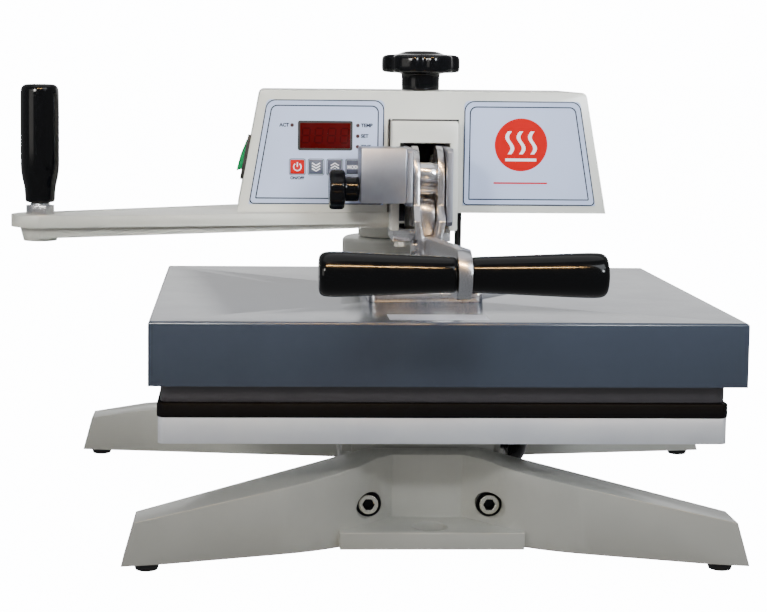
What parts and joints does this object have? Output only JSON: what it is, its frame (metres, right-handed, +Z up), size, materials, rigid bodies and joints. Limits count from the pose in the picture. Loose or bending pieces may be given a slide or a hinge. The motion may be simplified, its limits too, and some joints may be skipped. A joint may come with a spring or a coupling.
{
  "type": "swing-away heat press",
  "caption": "Bench heat press with a swing-away heated platen, a toggle lever with a T handle, a control box on the head and a cast cross-foot base.",
  "frame": {"origin": "centre of the footprint of the whole machine, on the floor", "axes": "+X to the operator's right, +Y to the back, +Z up"},
  "size_m": [0.744, 0.72, 0.462],
  "materials": {
    "cream_paint": "semi-gloss cream enamel",
    "slate_paint": "semi-gloss slate enamel",
    "platen_aluminium": "milled",
    "coated_platen": "PTFE coated",
    "black_silicone": "matt sponge",
    "black_rubber": "matt",
    "gloss_black": "polished phenolic",
    "matte_black": "moulded",
    "zinc_steel": "zinc plated",
    "bright_steel": "ground bright",
    "black_steel": "black oxide",
    "bronze": "plain bearing bronze",
    "overlay_film": "printed film",
    "red_window": "tinted",
    "lamp_red": "diffused",
    "circuit_board": "solder mask",
    "rocker_green": "translucent",
    "button_red": "printed film",
    "button_slate": "printed film",
    "element_steel": "heat tinted",
    "insulation": "ceramic fibre",
    "white_label": "blank film"
  },
  "bodies": {
    "base": {"front_cross_foot": "cream_paint", "rear_cross_foot": "cream_paint", "base_spine": "cream_paint", "rubber_feet": "black_rubber", "base_bolts": "zinc_steel", "post_column": "cream_paint", "post_shaft": "bright_steel", "platen_pedestal": "cream_paint", "lower_platen": "platen_aluminium", "silicone_pad": "black_silicone"},
    "platen_knob": {"platen_clamp_knob": "gloss_black"},
    "head": {"swing_arm": "cream_paint", "arm_bushes": "bronze", "arm_cap": "cream_paint", "head_yoke": "cream_paint", "yoke_back_plate": "black_steel", "ram_guide": "bright_steel", "pivot_brackets": "zinc_steel", "head_bolts": "cream_paint", "lever_pivot_pin": "bright_steel", "clamp_block": "zinc_steel", "side_swing_bar": "cream_paint", "grip_stud_and_nut": "zinc_steel", "control_box": "cream_paint", "control_rear_cover": "cream_paint", "cover_screws": "black_steel", "cable_gland": "matte_black", "left_overlay": "overlay_film", "right_overlay": "overlay_film", "display_lens": "red_window", "display_module": "matte_black", "indicator_lamps": "lamp_red", "control_board": "circuit_board", "power_components": "matte_black", "conduit_grommet": "black_rubber", "switch_bezel": "matte_black"},
    "side_knob": {"clamp_knob": "gloss_black"},
    "grip": {"swing_grip": "gloss_black"},
    "rocker": {"power_rocker": "rocker_green"},
    "power_key": {"power_button": "button_red"},
    "down_key": {"down_button": "button_slate"},
    "up_key": {"up_button": "button_slate"},
    "mode_key": {"mode_button": "button_slate"},
    "pressure_knob": {"star_knob": "gloss_black"},
    "lever": {"lever_plates": "zinc_steel", "lever_fasteners": "bright_steel", "handle_bar": "zinc_steel", "handle_grips": "gloss_black"},
    "link": {"toggle_link": "zinc_steel"},
    "carriage": {"ram_shaft": "bright_steel", "carriage_bracket": "zinc_steel", "bracket_screws": "black_steel", "platen_cover": "slate_paint", "heated_platen": "coated_platen", "heating_element": "element_steel", "insulation_blanket": "insulation", "backing_plate": "black_steel", "cover_label": "white_label", "heater_conduit": "black_rubber"}
  },
  "joints": [
    {"name": "head_swing", "type": "hinge", "parent": "base", "child": "head", "pos_m": [0.018, 0.301, 0.3], "axis": [0, 0, 1], "range_deg": [0, 90]},
    {"name": "lever_lift", "type": "hinge", "parent": "head", "child": "lever", "pos_m": [0.018, -0.046, 0.332], "axis": [-1, 0, 0], "range_deg": [0, 75]},
    {"name": "press_travel", "type": "slide", "parent": "head", "child": "carriage", "axis": [0, 0, 1], "range_m": [0, 0.0245]},
    {"name": "link_fold", "type": "hinge", "parent": "lever", "child": "link", "pos_m": [0.018, -0.046, 0.308], "axis": [-1, 0, 0], "range_deg": [-107, 0]},
    {"name": "pressure_turn", "type": "hinge", "parent": "head", "child": "pressure_knob", "pos_m": [0.018, 0.021, 0.423], "axis": [0, 0, 1], "continuous": true},
    {"name": "side_knob_turn", "type": "hinge", "parent": "head", "child": "side_knob", "pos_m": [-0.052, -0.062, 0.332], "axis": [1, 0, 0], "continuous": true},
    {"name": "grip_turn", "type": "hinge", "parent": "head", "child": "grip", "pos_m": [-0.345, -0.056, 0.35], "axis": [0, 0, 1], "continuous": true},
    {"name": "platen_knob_turn", "type": "hinge", "parent": "base", "child": "platen_knob", "pos_m": [0.098, -0.024, 0.087], "axis": [1, 0, 0], "continuous": true},
    {"name": "rocker_tilt", "type": "hinge", "parent": "head", "child": "rocker", "pos_m": [-0.14836, 0.036, 0.35546], "axis": [0, -1, 0], "range_deg": [0, 16]},
    {"name": "power_press", "type": "slide", "parent": "head", "child": "power_key", "axis": [0, 1, 0], "range_m": [0, 0.0005], "stiffness_N_per_m": 600},
    {"name": "down_press", "type": "slide", "parent": "head", "child": "down_key", "axis": [0, 1, 0], "range_m": [0, 0.0005], "stiffness_N_per_m": 600},
    {"name": "up_press", "type": "slide", "parent": "head", "child": "up_key", "axis": [0, 1, 0], "range_m": [0, 0.0005], "stiffness_N_per_m": 600},
    {"name": "mode_press", "type": "slide", "parent": "head", "child": "mode_key", "axis": [0, 1, 0], "range_m": [0, 0.0005], "stiffness_N_per_m": 600}
  ],
  "couplings": [
    {"joint": "press_travel", "follows": "lever_lift", "m_per_rad": 0.01833},
    {"joint": "link_fold", "follows": "lever_lift", "ratio": -1.404}
  ]
}
